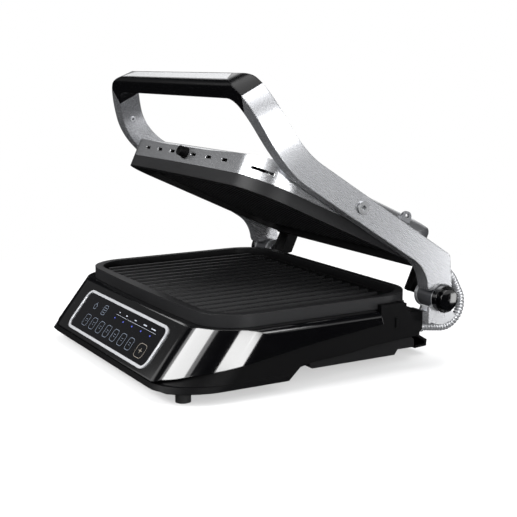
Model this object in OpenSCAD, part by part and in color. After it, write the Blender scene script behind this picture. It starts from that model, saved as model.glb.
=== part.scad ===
// Electric contact grill: a base with a ribbed plate and a sloped touch panel, and a lid that
// floats on two arms. The arms turn on hinges at the rear corners of the base.
// Millimetres. X is the width, -Y the front, Z up; the origin is on the table, under the middle
// of the whole object. The lid and the arms are drawn part way open.

/* [Plates] */
// Width of the lower plate over its rim
plate_w = 312; // [290:1:330]
// Depth of the lower plate over its rim
plate_d = 225.6; // [210:0.2:235]
// Height of the plates' rims
rim_h = 11.7; // [10:0.1:14]
// Width of the plates' rims, seen from the food side
rim_w = 8; // [6:0.5:10]
// Corner radius of the plates
plate_r = 42; // [34:1:45]
// How far the middle of a front edge bows out
front_bow = 2.4; // [0.6:0.2:5]
// Distance between two ribs
rib_pitch = 15.6; // [10:0.2:24]
// Height of a rib
rib_h = 4.2; // [2:0.2:5]
// Width of a rib at its foot
rib_w = 6; // [4:0.5:8]

/* [Base] */
// Width of the glossy housing
body_w = 333.6; // [330:0.2:350]
// Height of the glossy housing's deck over the table
deck_z = 63.5; // [60:0.5:70]
// Wall thickness of the mouldings
wall = 3; // [2:0.2:4]
// Slope of the front face
face_slope = 51.1; // [45:0.1:58]
// Height of the lower edge of the front face over the table
face_foot_z = 16.9; // [15:0.1:20]
// Depth from the plate's middle to the lower edge of the front face
face_foot_y = 155.5; // [150:0.5:162]
// Depth from the plate's middle to the rear wall
rear_y = 111; // [108:0.5:112]
// Height of the skirt over the table
skirt_z = 11; // [9:0.5:13]
// Radius of the housing's front corners
body_r = 48; // [45:1:52]

/* [Touch panel] */
// Width of the panel over its bright bead
panel_w = 198; // [150:1:220]
// Height of the panel over its bright bead, along the face
panel_h = 46; // [38:0.5:48]
// Corner radius of the panel
panel_r = 10; // [6:0.5:14]
// Width of the bead
bead_w = 2.4; // [1.6:0.2:3.4]

/* [Drip tray] */
// Width of the drip tray
tray_w = 236; // [200:1:240]
// Depth of the drip tray's trough
tray_deep = 12; // [9:0.5:13]
// How far the tray's pull reaches behind the rear wall
tray_pull = 41; // [34:1:44]

/* [Hinge and arms] */
// Depth from the plate's middle to the hinge axis
hinge_y = 126.8; // [125:0.2:130]
// Height of the hinge axis
hinge_z = 70; // [69:0.5:72]
// Radius of the hinge pins
pin_r = 5; // [4:0.1:6]
// Running clearance round a pin or bolt
run_gap = 0.05; // [0.03:0.01:0.08]
// Width of the arms from side to side, over both
arms_w = 343; // [341:0.5:350]
// Thickness of an arm, from side to side
arm_t = 16; // [14:0.5:17]
// Height of an arm
arm_h = 24; // [22:0.5:26]
// Angle by which the arms are open
open_angle = 32; // [28:0.5:36]

/* [Lid] */
// Width of the lid
lid_w = 300; // [280:1:302]
// Depth of the lid
lid_d = 224; // [210:1:226]
// Height of the lid over its rim's lower edge
lid_h = 40; // [36:0.5:46]
// Height of the lid's metal front over the rim's lower edge
lid_front_h = 31; // [28:0.5:34]
// Wall thickness of the lid's metal
lid_wall = 1.6; // [1.2:0.1:2.4]
// Depth from the lid's front edge to its pivot bolts
pivot_s = 103.5; // [96:0.5:110]
// Gap between the two plates' rims when the lid is shut
shut_gap = 0.5; // [0.3:0.1:1]
// Angle between lid and table as drawn
lid_angle = 24.8; // [22:0.1:28]
// Radius of the pivot bolts
bolt_r = 4; // [3:0.1:5]
// Radius of the knob on the lid's front
knob_r = 6; // [5:0.2:8]
// How far that knob stands out
knob_out = 8; // [6:0.5:10]

/* [Conduit] */
// Diameter of the armoured conduit
conduit_d = 9; // [7:0.2:10]

/* [Hidden] */
$fn = 48;
gap = 0.3;            // between pieces that don't touch
eps = 0.01;
big = 400;
foot_r = 7;
side_wall = 4.5;      // the glossy housing's side panels are thicker
plate_top = deck_z + rim_h;
half_w = body_w / 2;
shell_half = half_w - side_wall - gap;
floor_t = 3;                                // thickness of a cooking plate
web_z = plate_top - 9;                      // food side of the lower plate
arm_out = arms_w / 2;
arm_in = arm_out - arm_t;
lid_half = lid_w / 2;
ring_w = lid_w - 1;
ring_d = lid_d - 0.6;
lid_bow = front_bow;
face_dir = [cos(face_slope), sin(face_slope)];
face_run = deck_z - face_foot_z;
face_top_y = -face_foot_y + face_run / tan(face_slope);
face_round = 6;
boss_len = arm_in - gap - lid_half;
knob_x = 6;           // the knob's place on the lid's front, to the right of the middle

// Pivot bolts: the shut height and the opening angle give their place.
pivot_t = 23.9;
pivot_reach = 132.44;
shut_rise = plate_top + shut_gap + pivot_t - hinge_z;
shut_angle = asin(shut_rise / pivot_reach);
bolt_angle = shut_angle + open_angle;
pivot_y = hinge_y - pivot_reach * cos(bolt_angle);
pivot_z = hinge_z + pivot_reach * sin(bolt_angle);

// Arm outline, in the arm's own directions: U runs to the front along its straight part and V
// across it, from the pivot bolt.
arm_lean = open_angle + 0.6;
arm_low = -arm_h / 2 - 0.9;
arm_top = arm_low + arm_h;
bend_u = 58;          // start of the bend up to the handle
bend_r = 104;         // outer radius of that bend
bend_a = 35.4;        // turn of that bend
hinge_u = -(hinge_y - pivot_y) * cos(arm_lean) - (pivot_z - hinge_z) * sin(arm_lean);
hinge_v = (hinge_y - pivot_y) * sin(arm_lean) - (pivot_z - hinge_z) * cos(arm_lean);
heel_r = 8;           // corner over the hinge
heel = [hinge_u + 11.4 + heel_r, arm_top - heel_r];
throat_r = 36;        // hollow curve in front of the hinge
throat = [hinge_u + 50.4, arm_low - throat_r];

// Handle loop, seen square to it: X across, D up the loop from the end of the bend.
loop_lean = arm_lean + bend_a;
loop_u = bend_u + bend_r * sin(bend_a);
loop_v = arm_low + bend_r * (1 - cos(bend_a));
loop_y = pivot_y - loop_u * cos(arm_lean) + loop_v * sin(arm_lean);
loop_z = pivot_z + loop_u * sin(arm_lean) + loop_v * cos(arm_lean);
loop_top = 46.8;
loop_round = 6;
corner_r1 = 41;       // tight upper part of the loop's corner
corner_a = 51;        // turn of that part
corner_r2 = 107;      // wide lower part
corner_c1 = [arm_out - corner_r2 - (corner_r1 - corner_r2) * sin(corner_a), loop_top - corner_r1];
corner_c2 = [arm_out - corner_r2, corner_c1[1] + (corner_r1 - corner_r2) * cos(corner_a)];
joint_x = 137.6;      // joint between grip and arm, at the inside of the loop
joint_d = 14;
joint_lean = 0.4;     // its slope outwards, going up
joint_tilt = 14;      // its slope down to the rear

// Hinge stack, from the inside to the outside
cheek_in = arm_in - 12;
cheek_t = 3.2;
cheek_out = arm_out - 2.7;
saddle_r = 25.5;
cheek_r = 12;         // bright rim of the bracket round the button
barrel_r = 11;
knuckle_r = barrel_r + 1.5;
button_r = 10.2;
button_travel = 3;
button_out = 10.8;
collar_t = 6;         // depth of the collar round the button

// Conduit from the base's rear to the right arm: along the table, round a bend and up.
conduit_x = 150;
conduit_r = conduit_d / 2;
gland_z = 40.25;
gland_a = 7.5;        // how far it points down where it leaves the base
gland_r = 6.5;        // its nut, over the corners
table_run = 31.1;     // straight part along the table
turn_r = 22;
turn_a = 118;         // direction of the conduit after its bend
rise = 11.7;          // straight part after the bend
lean_r = 40;          // radius of the second, slack bend
lean_a = 17;
climb = 22;           // straight part up to the arm

// The pieces are drawn from the middle of the lower plate; this puts the middle of the whole
// object's box over the origin.
module placed() {
    translate([0, -7.265, 0]) children();
}

// Ring sector between two radii, from angle a0 to a1 (spans up to 120 degrees)
module sector(r_out, r_in, a0, a1) {
    far = 1.5 * r_out;
    intersection() {
        difference() {
            circle(r_out, $fn = 144);
            if (r_in > 0) circle(r_in, $fn = 144);
        }
        polygon([for (i = [0:4]) i == 0 ? [0, 0]
            : let (a = a0 + (a1 - a0) * (i - 1) / 3) [far * cos(a), far * sin(a)]]);
    }
}

// Rectangle with true round corners, from y0 to y1, with its front edge bowed out
module plan(w, y0, y1, r, bow = 0) {
    half = w / 2 - r;
    translate([-w / 2 + r, y0]) square([w - 2 * r, y1 - y0]);
    translate([-w / 2, y0 + r]) square([w, y1 - y0 - 2 * r]);
    for (x = [-half, half], y = [y0 + r, y1 - r]) translate([x, y]) circle(r);
    if (bow > 0) {
        bow_r = (half * half + bow * bow) / (2 * bow);
        intersection() {
            translate([0, y0 - bow + bow_r]) circle(bow_r, $fn = 180);
            translate([-half, y0 - bow]) square([2 * half, bow + r]);
        }
    }
}

// A depth-height outline drawn out along X, from x0 to x1
module across(x0, x1) {
    translate([x0, 0, 0]) rotate([90, 0, 90]) linear_extrude(x1 - x0) children();
}

// A width-height outline drawn out along Y, from y0 to y1
module along(y0, y1) {
    translate([0, y1, 0]) rotate([90, 0, 0]) linear_extrude(y1 - y0) children();
}

// A cylinder along X from x0 to x1, at a depth and height
module bar_x(x0, x1, r, y = 0, z = 0) {
    translate([x0, y, z]) rotate([0, 90, 0]) cylinder(r = r, h = x1 - x0);
}

module both_sides() {
    children();
    mirror([1, 0, 0]) children();
}

// Placement of the lid's pieces: drawn level, with the rim's lower front edge at the origin
module lid_place() {
    translate([0, pivot_y, pivot_z]) rotate([-lid_angle, 0, 0]) translate([0, -pivot_s, -pivot_t])
        children();
}

// Placement on the sloped face: X across, Y up the face, Z out of it
module face_place() {
    translate([0, -face_foot_y, face_foot_z]) rotate([face_slope, 0, 0]) children();
}

// ---- Base ----

function face_y(z, inset) = -face_foot_y + (z - face_foot_z) / tan(face_slope) + inset / sin(face_slope);

// A long bar that runs up the slope of the front face, with round front edges: the base's outer
// form, made smaller by 'side' at the sides and 'front' at the face
module face_bar(side, front) {
    r = body_r - side;
    w = half_w - side;
    face_place() translate([0, 300, -front]) rotate([90, 0, 0]) linear_extrude(600) {
        translate([-w, -big]) square([2 * w, big - r]);
        translate([r - w, -r - eps]) square([2 * (w - r), r + eps]);
        for (x = [r - w, w - r]) translate([x, -r]) circle(r, $fn = 96);
    }
}

// Width-height outline of the housing, with round shoulders
module shoulders(side, top) {
    w = half_w - side;
    r = face_round - min(side, 3);
    translate([-w, -5]) square([2 * w, deck_z - top + 5 - r]);
    translate([r - w, 0]) square([2 * (w - r), deck_z - top]);
    for (x = [r - w, w - r]) translate([x, deck_z - top - r]) circle(r);
}

module gloss_housing() {
    slot_w = panel_w - 2 * bead_w;
    slot_h = panel_h - 2 * bead_w;
    color("#101010") difference() {
        union() {
            intersection() {
                face_bar(0, 0);
                along(-200, 100) shoulders(0, 0);
                across(-half_w, half_w) polygon([[62.2, 51.8], [58.5, deck_z],
                    [face_y(deck_z - 3, 0) + 6, deck_z], [face_y(deck_z - 1.6, 0), deck_z - 1.6],
                    [face_y(deck_z - 5, 0), deck_z - 5], [-face_foot_y, face_foot_z],
                    [-150, 20.5], [-129.6, 26.4], [-8, 44.3]]);
            }
            translate([-137, 40, deck_z - wall]) cube([274, rear_y - wall - gap - 40, wall]);
            // posts for the control board
            intersection() {
                face_place() for (x = [-70, 70], y = [17, 43])
                    translate([x, y, -9]) cylinder(r = 3, h = 8);
                face_bar(1, 1);
            }
        }
        difference() {
            intersection() {
                face_bar(side_wall, wall);
                along(-200, 100) shoulders(side_wall, wall);
            }
            face_place() for (x = [-70, 70], y = [17, 43]) translate([x, y, -9])
                cylinder(r = 3, h = 8);
            translate([-137, 40, deck_z - wall]) cube([274, rear_y, wall]);
        }
        // heater window and the way for the plate's spout
        translate([0, 0, 50]) linear_extrude(20) plan(256, -88, 88, 14);
        translate([-23, 94.8, 50]) cube([46, 20, 20]);
        face_place() translate([0, 0, -10]) linear_extrude(20)
            plan(slot_w, (face_len() - slot_h) / 2, (face_len() + slot_h) / 2, panel_r - bead_w);
    }
}

// Length of the front face up its slope, and where the panel sits on it
function face_len() = face_run / sin(face_slope) - 4;

module panel_frame() {
    mid = face_len() / 2;
    slot_w = panel_w - 2 * bead_w;
    slot_h = panel_h - 2 * bead_w;
    color("#d0d0d4") face_place() difference() {
        union() {
            linear_extrude(1.2) plan(panel_w, mid - panel_h / 2, mid + panel_h / 2, panel_r);
            translate([0, 0, -wall]) linear_extrude(wall + 1.2)
                plan(slot_w, mid - slot_h / 2, mid + slot_h / 2, panel_r - bead_w);
        }
        translate([0, 0, -1.6]) linear_extrude(9)
            plan(slot_w - 0.8, mid - slot_h / 2 + 0.4, mid + slot_h / 2 - 0.4, panel_r - bead_w - 0.4);
        translate([0, 0, -9]) linear_extrude(9)
            plan(slot_w - 4, mid - slot_h / 2 + 2, mid + slot_h / 2 - 2, panel_r - bead_w - 2);
    }
}

module panel_glass() {
    mid = face_len() / 2;
    w = panel_w - 2 * bead_w - 0.8;
    h = panel_h - 2 * bead_w - 0.8;
    color("#0a0a0c") face_place() translate([0, 0, -1.6]) linear_extrude(2)
        plan(w, mid - h / 2, mid + h / 2, panel_r - bead_w - 0.4);
}

module control_board() {
    color("#2f6b3c") face_place() {
        translate([-78, 13, -10.6]) cube([156, 34, 1.6]);
        for (x = [-60:20:60]) translate([x - 5, 26, -9]) cube([10, 12, 3]);
        translate([-50, 20, -16]) cube([24, 18, 5.4]);
        translate([10, 24, -13]) cube([20, 14, 2.4]);
    }
}

// Where the plate sits, with a little air round it
module plate_hole(z0, z1) {
    translate([0, 0, z0]) linear_extrude(z1 - z0)
        plan(plate_w + 2 * gap, -plate_d / 2 - gap, plate_d / 2 + gap, plate_r + gap);
}

module base_shell() {
    low = [[-150, skirt_z], [-38, skirt_z], [-26, skirt_z + 11], [-10.5, 24.9], [6.8, 25.7],
           [28.9, 27.4], [51.5, 30.6], [82.8, 32.7], [104, 34], [rear_y, 40]];
    x0 = shell_half;
    shoulder = face_round - 3 + gap;
    seam = face_foot_z - gap;
    in = half_w - shell_half;
    color("#202020") difference() {
        union() {
            intersection() {
                face_bar(in - 0.6, 0.5);
                across(-x0 - 1, x0 + 1) polygon([[-159, seam], [-159, 13.3], [-156, 12.6],
                    [-150, skirt_z], [-38, skirt_z], [-38, seam]]);
            }
            intersection() {
                face_bar(in, wall + gap);
                across(-x0, x0) polygon(concat([[-170, deck_z - wall], [-170, skirt_z]], low,
                    [[rear_y, 57.5], [97, 57.5], [94.8, deck_z - wall]]));
                // its upper edges clear the round shoulders of the housing
                along(-200, rear_y + 1) polygon([[-x0 - 1, -5], [x0 + 1, -5],
                    [x0 + 1, deck_z - wall - shoulder - 1], [x0 - shoulder, deck_z - wall],
                    [x0 - shoulder, deck_z + 1], [shoulder - x0, deck_z + 1],
                    [shoulder - x0, deck_z - wall], [-x0 - 1, deck_z - wall - shoulder - 1]]);
            }
            across(-137, 137) polygon([[rear_y - wall, 38], [rear_y, 40], [rear_y, deck_z - wall],
                [rear_y - wall, deck_z - wall]]);
            // rear corner towers, with the hinges behind them
            both_sides() across(137.3, x0) polygon([[62.5, 54], [62.5, 68.5], [89, 68.5],
                [97, 57.5], [rear_y, 57.5], [rear_y, 42], [100, 42]]);
            both_sides() translate([shell_half - 1, 79, 45]) cube([2.5, 2, 10]);
            // a thick place for the conduit's gland
            translate([conduit_x - 8, 100, gland_z - 7.5]) cube([16, rear_y - 100, 15]);
        }
        intersection() {
            face_bar(in + wall, 2 * wall + gap);
            across(-x0, x0) polygon([[-200, -5], [-200, deck_z - wall], [92, deck_z - wall],
                [95.5, 54.5], [rear_y - wall, 54.5], [rear_y - wall, -5]]);
        }
        across(-134, 134) polygon([[80, -5], [80, 62], [rear_y - wall, 62], [rear_y - wall, -5]]);
        plate_hole(deck_z, 90);
        // window behind the touch panel
        face_place() translate([-82, 9, -12]) cube([164, 42, 14]);
        gland_place() translate([0, 0, -20]) cylinder(r = conduit_r, h = 40);
        translate([-75, 90, 50]) rotate([-90, 0, 0]) cylinder(r = 5, h = 30);
        both_sides() for (x = [150, 157]) translate([x, 90, 54.4]) rotate([-90, 0, 0])
            cylinder(r = 1.6, h = 30);
    }
    // screw bosses down the side walls
    color("#202020") both_sides() for (p = base_bosses()) translate([p[0], p[1], p[2]])
        difference() {
            union() {
                cylinder(r = 4, h = 14);
                translate([0, -1.5, 0]) cube([shell_half - wall - p[0] + 0.5, 3, 14]);
            }
            translate([0, 0, -1]) cylinder(r = 1.6, h = 12);
        }
}

// Screw places: width, depth and the height of the cover's upper face there
function base_bosses() = [[152, -96, 15], [152, 4, 35.5], [152, 84, 35.5]];

module bottom_cover() {
    in = half_w - shell_half;
    tub_w = tray_w + 20;
    color("#262626") difference() {
        union() {
            intersection() {
                face_bar(in + wall + gap, 2 * wall + 2 * gap);
                across(-shell_half, shell_half) polygon([[-170, 12.5], [-38, 12.5], [-24, 33],
                    [rear_y - wall - gap, 33], [rear_y - wall - gap, 35.5], [-25.5, 35.5],
                    [-39.5, 15], [-170, 15]]);
            }
            across(-tub_w / 2, tub_w / 2) polygon([[5, 33.1], [5, 10], [8, 7], [104, 7],
                [108, 12], [128, 12], [128, 20], [rear_y, 33.1]]);
        }
        // tunnel for the drip tray
        across(-tub_w / 2 + wall, tub_w / 2 - wall) polygon([[8, 33], [8, 9.5], [104, 9.5],
            [106, 14.5], [140, 14.5], [140, 33]]);
        translate([-24, 92.8, 20]) cube([48, 14, 30]);
        both_sides() for (p = base_bosses()) translate([p[0], p[1], 5]) cylinder(r = 1.7, h = 40);
    }
    // rails under the tray
    color("#262626") both_sides() translate([90, 10, 9.4]) cube([3, 94, 5.1]);
}

module feet() {
    color("#2b2b2b") both_sides() {
        translate([137, -131.5, 0]) foot(12.5);
        translate([84, 94, 0]) foot(7);
    }
}

module foot(h) {
    cylinder(r = foot_r, h = h);
}

module screw(r_head, t_head, r, len) {
    difference() {
        cylinder(r = r_head, h = t_head);
        for (a = [0, 90]) rotate(a) translate([-r_head * 0.6, -0.5, -0.1])
            cube([1.2 * r_head, 1, t_head * 0.5]);
    }
    translate([0, 0, t_head - 0.1]) cylinder(r = r, h = len);
}

module base_screws() {
    color("#8a8a8a") both_sides() for (p = base_bosses())
        translate([p[0], p[1], p[2] - 4.3]) screw(3.2, 1.8, 1.6, 10);
}

module terminal_block() {
    color("#e8e4d8") difference() {
        translate([-100, 60, 35.5]) cube([46, 18, 9]);
        for (x = [-95:9:-60]) translate([x, 69, 40]) cylinder(r = 2.2, h = 9);
    }
}

// ---- Plates and heaters ----

// A pan with a rim, its food side up: outer size w x d, height rim_h, with ribs
module plate_pan(w, d) {
    difference() {
        linear_extrude(rim_h) plan(w, -d / 2 + front_bow, d / 2, plate_r, front_bow);
        translate([0, 0, floor_t]) linear_extrude(rim_h)
            plan(w - 2 * rim_w, -d / 2 + front_bow + rim_w, d / 2 - rim_w, plate_r - rim_w + 2);
    }
}

// Raised ribs from front to back, clear of the rim
module rib_set(w, d) {
    n = floor((w / 2 - rim_w - rib_w) / rib_pitch);
    y0 = -d / 2 + rim_w + front_bow + 6;
    top_w = rib_w - 2.4;
    corner_x = w / 2 - plate_r + 2;
    corner_r = plate_r - rim_w + 2;
    for (i = [0:2 * n - 1], x = (i - n + 0.5) * rib_pitch, past = max(0, abs(x) + 3 - corner_x),
         cut = corner_r - sqrt(corner_r * corner_r - past * past)) translate([x, 0, 0])
        along(y0 + cut, d / 2 - rim_w - 16 - max(0, cut - 8)) polygon([[-rib_w / 2, floor_t - 0.1], [rib_w / 2, floor_t - 0.1],
            [top_w / 2, floor_t + rib_h], [-top_w / 2, floor_t + rib_h]]);
}

module lower_plate() {
    color("#1c1c1c") difference() {
        union() {
            translate([0, 0, deck_z]) {
                plate_pan(plate_w, plate_d);
                rib_set(plate_w, plate_d);
            }
            translate([-22, 95.1, 29]) cube([44, 10, deck_z - 28.9]);
        }
        translate([-20, 97.1, 20]) cube([40, 6, 60]);
    }
}

// A tubular heater, flat: one loop that is open at the rear, on the plane of its middle
module heater(w, d, r) {
    bend = 22;
    x = w / 2 - bend;
    y = d / 2 - bend;
    translate([-x, -d / 2, 0]) rotate([0, 90, 0]) cylinder(r = r, h = 2 * x);
    for (m = [0, 1]) mirror([m, 0, 0]) {
        translate([x, -y, 0]) rotate([0, 0, -90]) rotate_extrude(angle = 90)
            translate([bend, 0]) circle(r);
        translate([w / 2, -y, 0]) rotate([-90, 0, 0]) cylinder(r = r, h = 2 * y);
        translate([x, y, 0]) rotate_extrude(angle = 90) translate([bend, 0]) circle(r);
        translate([14, d / 2, 0]) rotate([0, 90, 0]) cylinder(r = r, h = x - 14);
        translate([8, d / 2, 0]) rotate([0, 90, 0]) cylinder(r = r / 2, h = 6);
    }
}

module lower_heater() {
    color("#6d6a66") translate([0, 0, deck_z - 3.3]) heater(216, 136, 3.3);
}

// A shallow sheet pan with a flange, open at the top
module reflector(w, d, h) {
    difference() {
        union() {
            translate([0, 0, h - 1]) linear_extrude(1) plan(w, -d / 2, d / 2, 16);
            linear_extrude(h) plan(w - 14, -d / 2 + 7, d / 2 - 7, 12);
        }
        translate([0, 0, 1]) linear_extrude(h) plan(w - 16, -d / 2 + 8, d / 2 - 8, 11);
    }
}

module lower_reflector() {
    color("#b8b8b8") translate([0, 0, deck_z - wall - 13]) reflector(268, 188, 13);
}

module sensor(h) {
    cylinder(r = 3, h = h);
    cylinder(r = 8, h = 1.5);
    translate([0, 0, h - 5]) cylinder(r = 8, h = 5);
}

module lower_sensor() {
    color("#c9b37a") translate([0, 10, deck_z - wall - 12]) sensor(wall + 12);
}

// ---- Drip tray ----

module drip_tray() {
    w = tray_w;
    z0 = 14.8;
    z1 = z0 + tray_deep;
    y1 = rear_y + tray_pull;
    color("#1a1a1a") {
        difference() {
            translate([-w / 2, 10, z0]) cube([w, 118, tray_deep]);
            translate([-w / 2 + 2, 12, z0 + 2]) cube([w - 4, 114, 60]);
        }
        across(-w / 2, w / 2) polygon([[127, z1], [134, z1 - 1.5], [y1, 14.5], [y1 - 0.5, 8],
            [137, 7], [137, 9.5], [y1 - 3, 10.2], [y1 - 3, 13.2], [133, z1 - 4.2], [127, z1 - 3]]);
    }
}

// ---- Hinges ----

module at_hinge() {
    translate([0, hinge_y, hinge_z]) children();
}

module hinge_bracket() {
    x0 = cheek_in;
    x1 = arm_out;
    plate_z = gland_z + gland_r + gap;
    color("#c4c4c6") difference() {
        union() {
            translate([x0, rear_y, plate_z]) cube([x1 - x0, 3, 57.3 - plate_z]);
            at_hinge() intersection() {
                across(x0, x1) sector(saddle_r, saddle_r - 3, 228, 312);
                translate([0, rear_y - hinge_y, -50]) cube([big, 100, 100]);
            }
            at_hinge() across(cheek_out, x1) {
                circle(cheek_r);
                intersection() {
                    sector(saddle_r, 0, 205, 312);
                    translate([rear_y - hinge_y, -50]) square(100);
                }
            }
            at_hinge() across(x0, x0 + cheek_t) {
                circle(12);
                sector(saddle_r - 1, 0, 250, 290);
            }
        }
        at_hinge() bar_x(x0 - 1, x1 + 1, pin_r);
        for (x = [150, 157]) translate([x, 100, 54.4]) rotate([-90, 0, 0])
            cylinder(r = 1.6, h = 30);
    }
}

module hinge_bracket_right() { hinge_bracket(); }
module hinge_bracket_left() { mirror([1, 0, 0]) hinge_bracket(); }

module hinge_pin() {
    color("#d6d6d8") at_hinge() {
        bar_x(cheek_in, arm_out, pin_r);
        bar_x(cheek_in - 2.5, cheek_in, pin_r + 2);
    }
}

module hinge_pin_right() { hinge_pin(); }
module hinge_pin_left() { mirror([1, 0, 0]) hinge_pin(); }

module hinge_barrel() {
    color("#3c3c3e") at_hinge() difference() {
        bar_x(cheek_in + cheek_t + gap, cheek_out - gap, barrel_r);
        bar_x(cheek_in, cheek_out + 1, pin_r + run_gap);
    }
}

module hinge_barrel_right() { hinge_barrel(); }
module hinge_barrel_left() { mirror([1, 0, 0]) hinge_barrel(); }

module bracket_screws() {
    color("#9a9a9a") both_sides() for (x = [150, 157])
        translate([x, rear_y + 4.6, 54.4]) rotate([90, 0, 0]) screw(2.4, 1.6, 1.6, 8);
}

module cord_gland() {
    color("#161616") translate([-75, rear_y - 5, 50]) rotate([-90, 0, 0]) difference() {
        union() {
            cylinder(r = 5, h = 14);
            translate([0, 0, 5]) cylinder(r = 7.5, h = 4);
        }
        translate([0, 0, -1]) cylinder(r = 3, h = 20);
    }
}

// ---- Conduit ----

// Where the conduit leaves the base: Z points along it
module gland_place() {
    translate([conduit_x, rear_y, gland_z]) rotate([-90 - gland_a, 0, 0]) children();
}

module conduit_gland() {
    color("#b5b5b8") difference() {
        gland_place() {
            translate([0, 0, -2]) cylinder(r = gland_r, h = 6, $fn = 6);
            translate([0, 0, -2]) cylinder(r = 5.6, h = 10);
        }
        gland_place() translate([0, 0, -5]) cylinder(r = conduit_r, h = 20);
        translate([conduit_x - 10, rear_y - 10, gland_z - 10]) cube([20, 10, 20]);
    }
}

// A step along the conduit in its own plane: straight on, then round a bend to the left
module run_on(len) {
    translate([len, 0, 0]) children();
}

module turn_on(r, a) {
    translate([0, r, 0]) rotate([0, 0, a]) translate([0, -r, 0]) children();
}

module tube(len) {
    lap = 0.5;
    translate([-lap, 0, 0]) rotate([0, 90, 0]) cylinder(r = conduit_r - 0.05, h = len + 2 * lap);
}

module elbow(r, a) {
    translate([0, r, 0]) rotate([0, 0, -90]) rotate_extrude(angle = a) translate([r, 0])
        circle(conduit_r);
}

// The conduit's plane: local X is the depth, local Y the height
module conduit_plane() {
    translate([conduit_x, rear_y, gland_z]) rotate([90, 0, 90]) rotate([0, 0, -gland_a]) children();
}

module conduit() {
    inside = 2.5;
    color("#c9c9cc") conduit_plane() translate([-inside, 0, 0]) {
        tube(table_run + inside);
        run_on(table_run + inside) {
            elbow(turn_r, turn_a + gland_a);
            turn_on(turn_r, turn_a + gland_a) {
                tube(rise);
                run_on(rise) {
                    elbow(lean_r, lean_a);
                    turn_on(lean_r, lean_a) tube(climb);
                }
            }
        }
    }
}

module conduit_collar() {
    color("#aeb0b3") difference() {
        conduit_plane() run_on(table_run) turn_on(turn_r, turn_a + gland_a) run_on(rise)
            turn_on(lean_r, lean_a) run_on(climb - 9) {
                rotate([0, 90, 0]) cylinder(r = conduit_r + 1, h = 10);
                translate([2, -3.5, 0]) cube([12, 13, arm_in - conduit_x]);
            }
        conduit_plane() run_on(table_run) turn_on(turn_r, turn_a + gland_a) run_on(rise)
            turn_on(lean_r, lean_a) run_on(climb - 9)
                translate([-1, 0, 0]) rotate([0, 90, 0]) cylinder(r = conduit_r, h = 20);
    }
}

// ---- Arms and handle ----

// Maps the arm's own directions to depth and height
module arm_plane() {
    translate([pivot_y, pivot_z]) rotate(180 - arm_lean) mirror([0, 1]) children();
}

function unit(v) = v / norm(v);

// Side view of both arms and the handle, in the arm's own directions
module arm_side() {
    hinge = [hinge_u, hinge_v];
    run = unit(hinge - heel);
    out = [run[1], -run[0]];
    rise_len = loop_top - loop_round;
    difference() {
        union() {
            translate([throat[0], arm_low]) square([bend_u - throat[0], arm_h]);
            translate([heel[0], arm_low]) square([throat[0] - heel[0] + 1, arm_h]);
            translate(heel) circle(heel_r);
            translate(hinge) circle(knuckle_r);
            polygon([heel + heel_r * out, hinge + knuckle_r * out, hinge - knuckle_r * out,
                throat + throat_r * [cos(142), sin(142)], [throat[0], arm_low], heel]);
        }
        translate(throat) circle(throat_r, $fn = 144);
    }
    translate([bend_u, arm_low + bend_r]) sector(bend_r, bend_r - arm_h, -90, bend_a - 90);
    translate([loop_u, loop_v]) rotate(bend_a) {
        translate([-eps, 0]) square([rise_len, arm_h]);
        translate([0, loop_round]) square([loop_top, arm_h - 2 * loop_round]);
        for (y = [loop_round, arm_h - loop_round]) translate([rise_len, y]) circle(loop_round);
    }
}

// What is cut off the arm's foot, so that it stands on the upper half of its barrel
module foot_cut() {
    hinge = [hinge_u, hinge_v];
    run = unit(hinge - heel);
    out = [run[1], -run[0]];
    polygon([hinge - 2 * run - 30 * out, hinge - 2 * run + 30 * out, hinge + 28 * run + 30 * out,
        hinge + 28 * run - 30 * out]);
}

// Handle loop, seen square to it, made thinner by 'inset' on both sides
module loop_outline(inset = 0) {
    t = arm_t - inset;
    translate([-corner_c1[0], loop_top - t]) square([2 * corner_c1[0], t - inset]);
    for (m = [0, 1]) mirror([m, 0]) {
        translate(corner_c1) sector(corner_r1 - inset, corner_r1 - t, 90 - corner_a, 90);
        translate(corner_c2) sector(corner_r2 - inset, corner_r2 - t, 0, 90 - corner_a);
        translate([arm_out - t, -big]) square([t - inset, big + corner_c2[1]]);
    }
}

module loop_place() {
    translate([0, loop_y, loop_z]) rotate([180 - loop_lean, 0, 0]) children();
}

module loop_bar(inset = 0) {
    loop_place() linear_extrude(600, center = true) loop_outline(inset);
}

// The part of the loop that belongs to the grip
module grip_zone(more = 0) {
    x = joint_x + more;
    loop_place() translate([0, joint_d, 0]) rotate([joint_tilt, 0, 0]) linear_extrude(600, center = true)
        polygon([[-x, 0], [x, 0], [x + joint_lean * 60, 60], [-x - joint_lean * 60, 60]]);
}

module arm_pocket(inset) {
    translate([throat[0] + 4 + inset, arm_low + inset])
        square([bend_u - throat[0] - 8 - 2 * inset, arm_h - 2 * inset]);
}

module arm_raw() {
    intersection() {
        loop_bar();
        across(0, arm_out + 1) arm_plane() arm_side();
    }
}

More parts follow.
